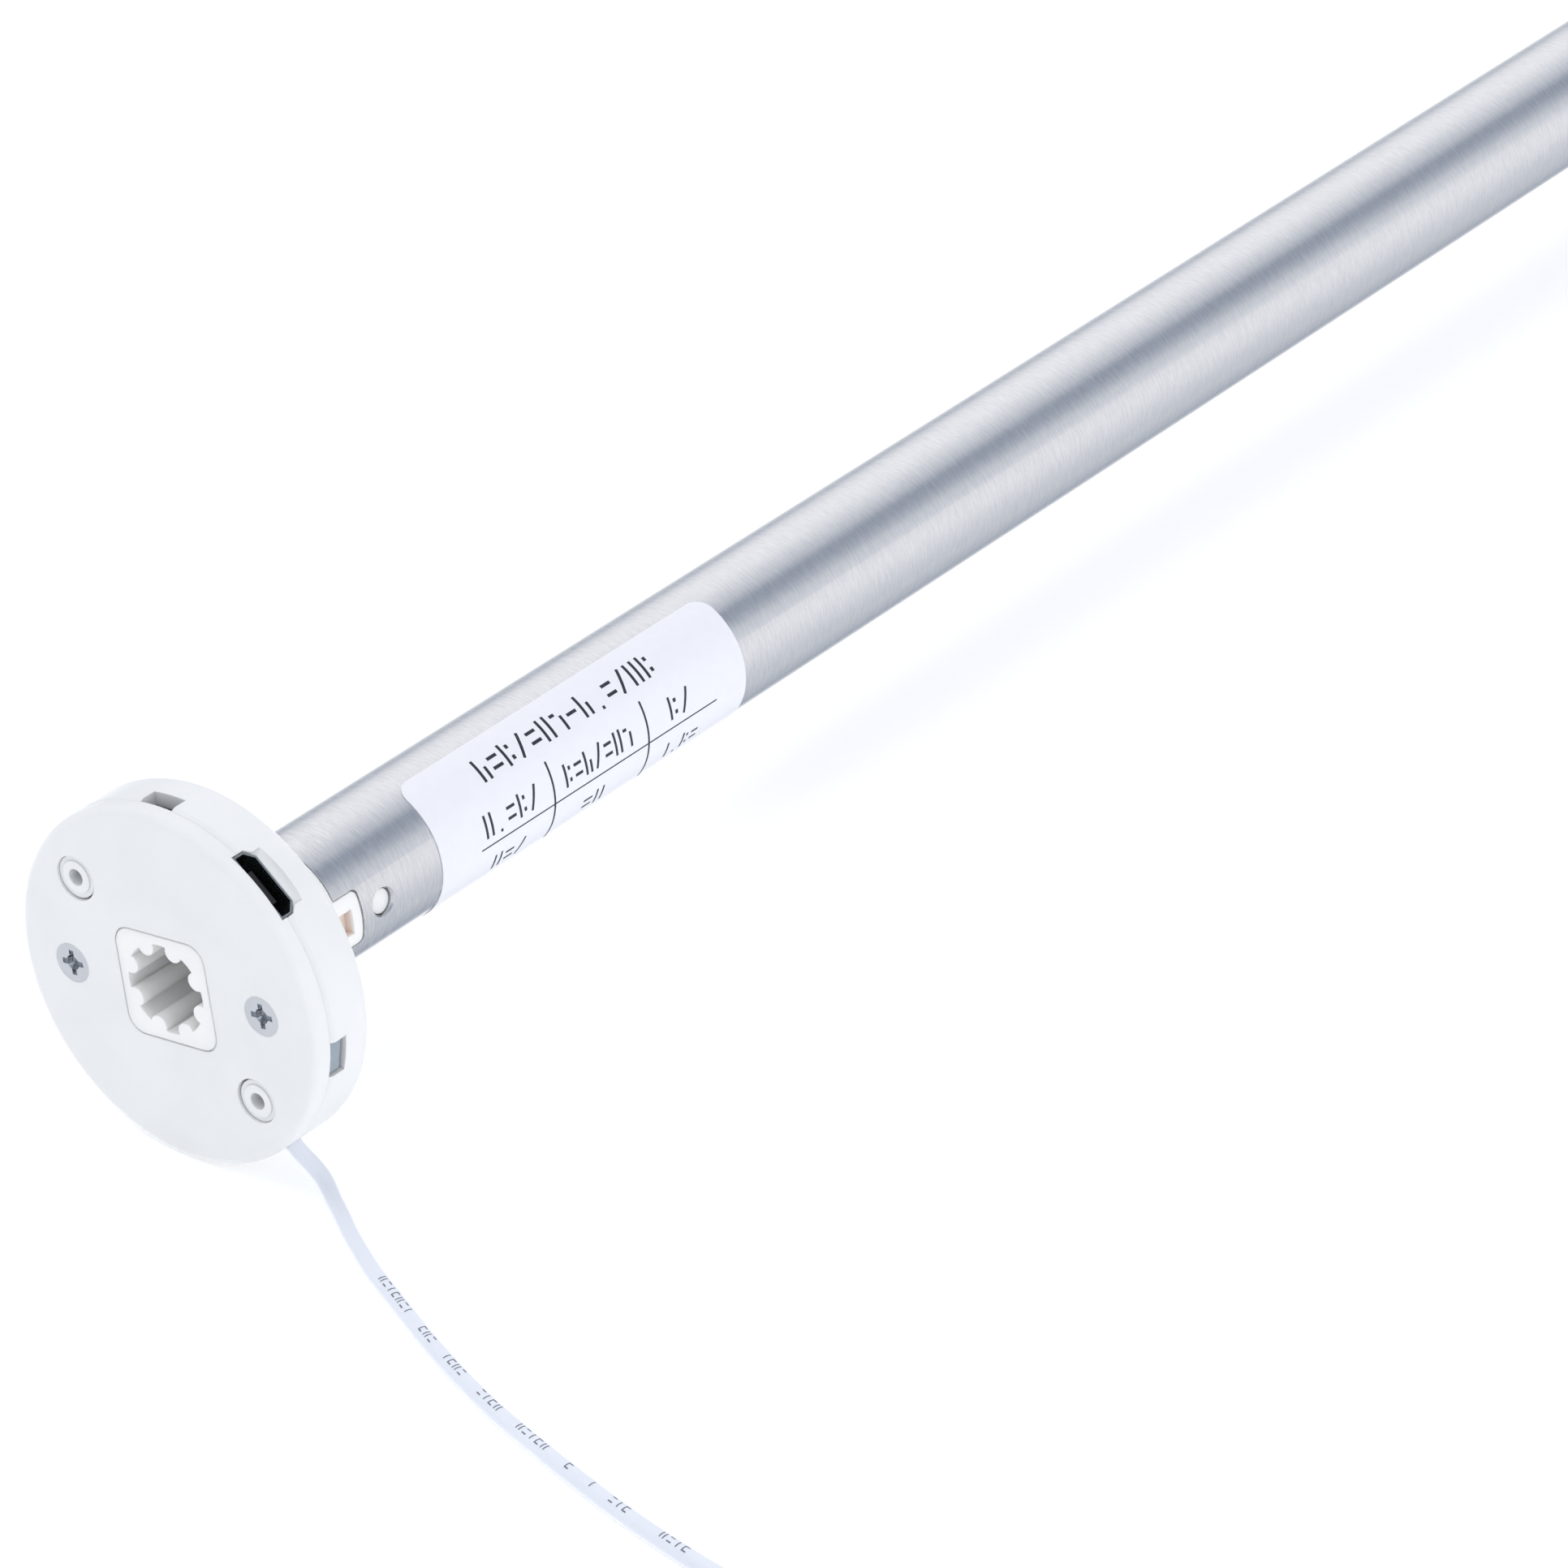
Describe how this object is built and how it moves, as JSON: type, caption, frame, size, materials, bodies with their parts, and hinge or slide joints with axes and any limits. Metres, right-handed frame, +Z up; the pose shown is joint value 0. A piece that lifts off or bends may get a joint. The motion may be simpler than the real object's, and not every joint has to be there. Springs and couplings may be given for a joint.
{
  "type": "roller shutter motor",
  "caption": "Slim tubular roller shutter motor with a round white head, star bracket socket, charging port, antenna lead, brushed tube and keyed drive wheel.",
  "frame": {"origin": "centre of the head's face, in the mouth of the bracket socket", "axes": "+X along the tube away from the bracket, +Z up as the motor lies, charging port 36.5 degrees from +Z towards -Y"},
  "size_m": [0.367, 0.124, 0.038],
  "materials": {
    "white_shell": "fine satin moulded ABS",
    "white_core": "satin moulded nylon",
    "zinc_screw": "bright zinc plate",
    "circuit_board": "solder mask over glass fibre",
    "port_steel": "drawn nickel-plated steel",
    "black_plastic": "moulded black plastic",
    "led_lens": "clear epoxy lens",
    "light_guide": "frosted light guide",
    "lead_sheath": "smooth soft PVC",
    "wire_sheath": "coloured wire insulation",
    "tube_aluminium": "round-brushed bright aluminium",
    "label_film": "satin white film with plain dark marks",
    "can_aluminium": "sleeved capacitor can",
    "ivory_plastic": "moulded nylon",
    "cell_wrap": "shrink film",
    "fish_paper": "pressed insulating paper",
    "flex_film": "copper on polyimide film",
    "ferrite": "sintered ferrite",
    "motor_steel": "zinc-plated drawn steel",
    "sintered_bronze": "oil-filled sintered bronze",
    "carbon": "pressed carbon",
    "rubber_ring": "soft rubber",
    "shaft_steel": "ground steel",
    "core_steel": "stacked steel sheets",
    "copper_wire": "enamelled copper",
    "pinion_brass": "cut brass",
    "black_screw": "blackened steel",
    "gear_plastic": "moulded acetal",
    "nose_zinc": "die-cast zinc",
    "clip_steel": "oiled spring steel",
    "wheel_plastic": "glass-filled nylon"
  },
  "bodies": {
    "root": {"head_cover": "white_shell", "head_housing": "white_shell", "socket_core": "white_core", "cover_screws": "zinc_screw", "head_board": "circuit_board", "usb_shell": "port_steel", "usb_tongue": "black_plastic", "button_switch": "black_plastic", "status_led": "led_lens", "light_guide": "light_guide", "lead_bush": "lead_sheath", "antenna_lead": "lead_sheath", "antenna_coil": "lead_sheath", "wire_harness": "wire_sheath", "motor_tube": "tube_aluminium", "rating_label": "label_film", "control_board": "circuit_board", "board_chips": "black_plastic", "board_capacitor": "can_aluminium", "harness_plug": "ivory_plastic", "battery_cell_1": "cell_wrap", "battery_cell_2": "cell_wrap", "cell_insulators": "fish_paper", "power_strip": "flex_film", "hall_board": "circuit_board", "motor_end_cap": "black_plastic", "motor_can": "motor_steel", "stator_magnets": "ferrite", "motor_bushes": "sintered_bronze", "brushes": "carbon", "vibration_rings": "rubber_ring", "gearbox_plate": "motor_steel", "plate_screws": "black_screw", "ring_gear": "gear_plastic", "gearbox_nose": "nose_zinc", "output_bush": "sintered_bronze", "end_screws": "zinc_screw"},
    "rotor": {"rotor_shaft": "shaft_steel", "rotor_core": "core_steel", "rotor_windings": "copper_wire", "commutator": "copper_wire", "motor_pinion": "pinion_brass", "encoder_magnet": "ferrite"},
    "carrier_1": {"carrier_1": "shaft_steel"},
    "carrier_2": {"carrier_2": "shaft_steel"},
    "output": {"output_carrier": "shaft_steel", "shaft_clip": "clip_steel", "drive_wheel": "wheel_plastic", "wheel_screw": "zinc_screw"},
    "button": {"setting_button": "black_plastic"},
    "planet_1a": {"planet_1a": "gear_plastic"},
    "planet_1b": {"planet_1b": "gear_plastic"},
    "planet_1c": {"planet_1c": "gear_plastic"},
    "planet_2a": {"planet_2a": "gear_plastic"},
    "planet_2b": {"planet_2b": "gear_plastic"},
    "planet_2c": {"planet_2c": "gear_plastic"},
    "planet_3a": {"planet_3a": "gear_plastic"},
    "planet_3b": {"planet_3b": "gear_plastic"},
    "planet_3c": {"planet_3c": "gear_plastic"}
  },
  "joints": [
    {"name": "output_spin", "type": "hinge", "parent": "root", "child": "output", "pos_m": [0.3, 0, 0], "axis": [1, 0, 0], "continuous": true},
    {"name": "carrier_2_spin", "type": "hinge", "parent": "root", "child": "carrier_2", "pos_m": [0.2797, 0, 0], "axis": [1, 0, 0], "continuous": true},
    {"name": "carrier_1_spin", "type": "hinge", "parent": "root", "child": "carrier_1", "pos_m": [0.2708, 0, 0], "axis": [1, 0, 0], "continuous": true},
    {"name": "rotor_spin", "type": "hinge", "parent": "root", "child": "rotor", "pos_m": [0.247, 0, 0], "axis": [1, 0, 0], "continuous": true},
    {"name": "planet_3a_spin", "type": "hinge", "parent": "output", "child": "planet_3a", "pos_m": [0.2858, 0, -0.00337], "axis": [1, 0, 0], "continuous": true},
    {"name": "planet_3b_spin", "type": "hinge", "parent": "output", "child": "planet_3b", "pos_m": [0.2858, 0.00292, 0.00169], "axis": [1, 0, 0], "continuous": true},
    {"name": "planet_3c_spin", "type": "hinge", "parent": "output", "child": "planet_3c", "pos_m": [0.2858, -0.00292, 0.00169], "axis": [1, 0, 0], "continuous": true},
    {"name": "planet_2a_spin", "type": "hinge", "parent": "carrier_2", "child": "planet_2a", "pos_m": [0.2752, 0, -0.00337], "axis": [1, 0, 0], "continuous": true},
    {"name": "planet_2b_spin", "type": "hinge", "parent": "carrier_2", "child": "planet_2b", "pos_m": [0.2752, 0.00292, 0.00169], "axis": [1, 0, 0], "continuous": true},
    {"name": "planet_2c_spin", "type": "hinge", "parent": "carrier_2", "child": "planet_2c", "pos_m": [0.2752, -0.00292, 0.00169], "axis": [1, 0, 0], "continuous": true},
    {"name": "planet_1a_spin", "type": "hinge", "parent": "carrier_1", "child": "planet_1a", "pos_m": [0.2675, 0, -0.00337], "axis": [1, 0, 0], "continuous": true},
    {"name": "planet_1b_spin", "type": "hinge", "parent": "carrier_1", "child": "planet_1b", "pos_m": [0.2675, 0.00292, 0.00169], "axis": [1, 0, 0], "continuous": true},
    {"name": "planet_1c_spin", "type": "hinge", "parent": "carrier_1", "child": "planet_1c", "pos_m": [0.2675, -0.00292, 0.00169], "axis": [1, 0, 0], "continuous": true},
    {"name": "button_press", "type": "slide", "parent": "root", "child": "button", "axis": [0, -0.1219, -0.9925], "range_m": [0, 0.0003], "stiffness_N_per_m": 3000}
  ],
  "couplings": [
    {"joint": "carrier_2_spin", "follows": "output_spin", "ratio": 6},
    {"joint": "carrier_1_spin", "follows": "output_spin", "ratio": 36},
    {"joint": "rotor_spin", "follows": "output_spin", "ratio": 216},
    {"joint": "planet_3a_spin", "follows": "output_spin", "ratio": -2.5},
    {"joint": "planet_3b_spin", "follows": "output_spin", "ratio": -2.5},
    {"joint": "planet_3c_spin", "follows": "output_spin", "ratio": -2.5},
    {"joint": "planet_2a_spin", "follows": "output_spin", "ratio": -15},
    {"joint": "planet_2b_spin", "follows": "output_spin", "ratio": -15},
    {"joint": "planet_2c_spin", "follows": "output_spin", "ratio": -15},
    {"joint": "planet_1a_spin", "follows": "output_spin", "ratio": -90},
    {"joint": "planet_1b_spin", "follows": "output_spin", "ratio": -90},
    {"joint": "planet_1c_spin", "follows": "output_spin", "ratio": -90}
  ]
}
